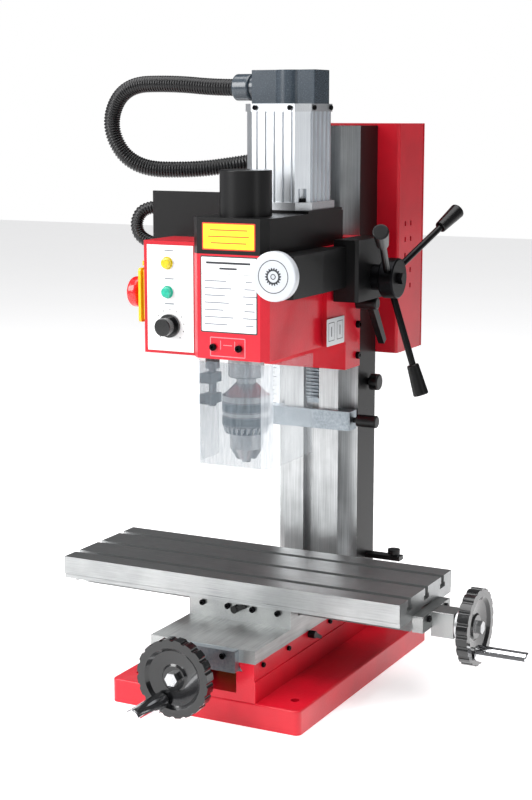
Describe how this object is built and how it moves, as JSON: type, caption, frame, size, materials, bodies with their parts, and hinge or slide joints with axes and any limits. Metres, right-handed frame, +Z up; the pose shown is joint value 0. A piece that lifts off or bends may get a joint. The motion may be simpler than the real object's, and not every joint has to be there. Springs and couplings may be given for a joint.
{
  "type": "benchtop milling machine",
  "caption": "Benchtop milling machine with T-slotted compound table, dovetail column, belt-driven head, keyed drill chuck, swing guard and side control box.",
  "frame": {"origin": "centre of the base's underside, midway between the four bench bolt holes", "axes": "+Z up along the column, +X along the table towards its handwheel, +Y from the operator towards the column"},
  "size_m": [0.5313, 0.5023, 0.6425],
  "materials": {
    "aluminium": "anodised extrusion",
    "black_gloss": "moulded phenolic",
    "black_paint": "satin powder coat",
    "black_plastic": "moulded",
    "black_steel": "blackened socket screws",
    "brass": "machined",
    "chrome": "polished",
    "ground_iron": "ground and lightly oiled",
    "guard_clear": "clear smoky acrylic",
    "lamp": "clear coloured lens",
    "panel_white": "printed panel",
    "red_paint": "gloss machine enamel, light orange peel",
    "red_plastic": "moulded",
    "rubber": "moulded",
    "silver": "silver paint",
    "steel": "machined",
    "yellow_plastic": "moulded"
  },
  "bodies": {
    "frame": {"base_casting": "red_paint", "base_gib_and_fasteners": "black_steel", "column": "ground_iron", "column_rack_and_scale": "steel", "column_side_stop": "black_steel", "y_feed_nut": "brass", "electronics_box": "red_paint", "electronics_glands": "black_plastic"},
    "saddle": {"saddle": "ground_iron", "saddle_gib_and_screws": "black_steel", "y_screw_bracket": "black_paint", "x_feed_nut": "brass"},
    "y_wheel": {"y_leadscrew": "steel", "y_handwheel": "black_gloss", "y_wheel_dial_and_nut": "steel"},
    "y_crank": {"y_crank_handle": "chrome"},
    "table": {"table": "ground_iron", "x_end_brackets": "ground_iron", "x_bracket_screws": "black_steel"},
    "x_wheel": {"x_leadscrew": "steel", "x_handwheel": "black_gloss", "x_wheel_dial_and_nut": "steel"},
    "x_crank": {"x_crank_handle": "chrome"},
    "table_lock": {"table_lock_lever": "black_plastic"},
    "saddle_lock": {"saddle_lock_lever": "black_plastic"},
    "head": {"head_casting": "red_paint", "head_gib_and_screws": "black_steel", "belt_cover": "black_paint", "motor_end_plates": "black_paint", "motor_housing": "aluminium", "terminal_box": "black_plastic", "feed_case": "black_paint", "spindle_bearings": "steel", "drive_belt": "rubber", "control_box": "red_paint", "control_panel": "panel_white", "indicator_lamps": "lamp", "estop_housing": "yellow_plastic", "control_bracket": "black_paint", "motor_conduit": "rubber", "panel_conduit": "rubber"},
    "spindle": {"spindle": "steel", "spindle_pulley_and_drawbar": "aluminium", "chuck_body": "chrome", "chuck_jaws": "steel"},
    "chuck_sleeve": {"chuck_sleeve": "chrome"},
    "motor": {"motor_rotor_and_pulley": "steel"},
    "drawbar_cap": {"drawbar_cap": "black_plastic"},
    "z_lock": {"z_lock_lever": "black_plastic"},
    "capstan": {"pinion_shaft": "steel", "capstan_hub": "black_steel", "capstan_arms": "black_plastic"},
    "fine_feed": {"fine_feed_knob": "silver"},
    "stop_block": {"depth_stop_block": "steel"},
    "stop_knob": {"depth_stop_knob": "black_plastic"},
    "speed_knob": {"speed_knob": "black_gloss"},
    "estop_lid": {"estop_lid": "yellow_plastic"},
    "estop_button": {"estop_mushroom": "red_plastic"},
    "guard": {"guard": "guard_clear", "guard_hinge": "black_steel"}
  },
  "joints": [
    {"name": "saddle_slide", "type": "slide", "parent": "frame", "child": "saddle", "axis": [0, 1, 0], "range_m": [-0.12, 0]},
    {"name": "y_wheel_spin", "type": "hinge", "parent": "saddle", "child": "y_wheel", "pos_m": [0, -0.2, 0.06], "axis": [0, 1, 0], "range_deg": [-21605, 5]},
    {"name": "y_crank_spin", "type": "hinge", "parent": "y_wheel", "child": "y_crank", "pos_m": [-0.012, -0.24, 0.037], "axis": [0, 1, 0], "continuous": true},
    {"name": "table_slide", "type": "slide", "parent": "saddle", "child": "table", "axis": [1, 0, 0], "range_m": [-0.11, 0.14]},
    {"name": "x_wheel_spin", "type": "hinge", "parent": "table", "child": "x_wheel", "pos_m": [0.2, -0.025, 0.0895], "axis": [1, 0, 0], "range_deg": [-19805, 25205]},
    {"name": "x_crank_spin", "type": "hinge", "parent": "x_wheel", "child": "x_crank", "pos_m": [0.25, -0.037, 0.0665], "axis": [1, 0, 0], "continuous": true},
    {"name": "table_lock_turn", "type": "hinge", "parent": "saddle", "child": "table_lock", "pos_m": [-0.003, -0.089, 0.0925], "axis": [0, 1, 0], "range_deg": [0, 60]},
    {"name": "saddle_lock_turn", "type": "hinge", "parent": "frame", "child": "saddle_lock", "pos_m": [0.058, -0.0425, 0.0605], "axis": [1, 0, 0], "range_deg": [0, 60]},
    {"name": "head_slide", "type": "slide", "parent": "frame", "child": "head", "axis": [0, 0, 1], "range_m": [-0.04, 0.09], "deforming": ["motor_conduit", "panel_conduit"]},
    {"name": "capstan_spin", "type": "hinge", "parent": "head", "child": "capstan", "pos_m": [0.09, 0.0734, 0.426], "axis": [1, 0, 0], "range_deg": [-459, 204.5]},
    {"name": "spindle_spin", "type": "hinge", "parent": "head", "child": "spindle", "pos_m": [0, -0.0725, 0.35], "axis": [0, 0, 1], "continuous": true},
    {"name": "motor_spin", "type": "hinge", "parent": "head", "child": "motor", "pos_m": [0, 0.0245, 0.55], "axis": [0, 0, 1], "continuous": true},
    {"name": "chuck_sleeve_spin", "type": "hinge", "parent": "spindle", "child": "chuck_sleeve", "pos_m": [0, -0.0725, 0.28], "axis": [0, 0, 1], "continuous": true},
    {"name": "drawbar_cap_lift", "type": "slide", "parent": "head", "child": "drawbar_cap", "axis": [0, 0, 1], "range_m": [0, 0.05]},
    {"name": "z_lock_turn", "type": "hinge", "parent": "head", "child": "z_lock", "pos_m": [0.055, 0.0904, 0.396], "axis": [1, 0, 0], "range_deg": [0, 40]},
    {"name": "fine_feed_spin", "type": "hinge", "parent": "head", "child": "fine_feed", "pos_m": [0.057, -0.1, 0.443], "axis": [0, 1, 0], "continuous": true},
    {"name": "depth_stop_slide", "type": "slide", "parent": "frame", "child": "stop_block", "axis": [0, 0, 1], "range_m": [-0.15, 0.006]},
    {"name": "depth_stop_knob_turn", "type": "hinge", "parent": "stop_block", "child": "stop_knob", "pos_m": [0.06, 0.0875, 0.266], "axis": [1, 0, 0], "range_deg": [0, 360]},
    {"name": "speed_knob_turn", "type": "hinge", "parent": "head", "child": "speed_knob", "pos_m": [-0.073, -0.1, 0.385], "axis": [0, 1, 0], "range_deg": [0, 270]},
    {"name": "estop_lid_swing", "type": "hinge", "parent": "head", "child": "estop_lid", "pos_m": [-0.1135, -0.0685, 0.445], "axis": [0, 1, 0], "range_deg": [0, 110]},
    {"name": "estop_press", "type": "slide", "parent": "estop_lid", "child": "estop_button", "axis": [1, 0, 0], "range_m": [0, 0.002], "stiffness_N_per_m": 600, "springref_m": -0.002},
    {"name": "guard_swing", "type": "hinge", "parent": "head", "child": "guard", "pos_m": [-0.052, -0.0495, 0.3], "axis": [0, 0, 1], "range_deg": [-110, 0]}
  ],
  "couplings": [
    {"joint": "y_wheel_spin", "follows": "saddle_slide", "rad_per_m": 3141.6},
    {"joint": "x_wheel_spin", "follows": "table_slide", "rad_per_m": 3141.6},
    {"joint": "capstan_spin", "follows": "head_slide", "rad_per_m": -88.889},
    {"joint": "motor_spin", "follows": "spindle_spin", "ratio": 2}
  ]
}
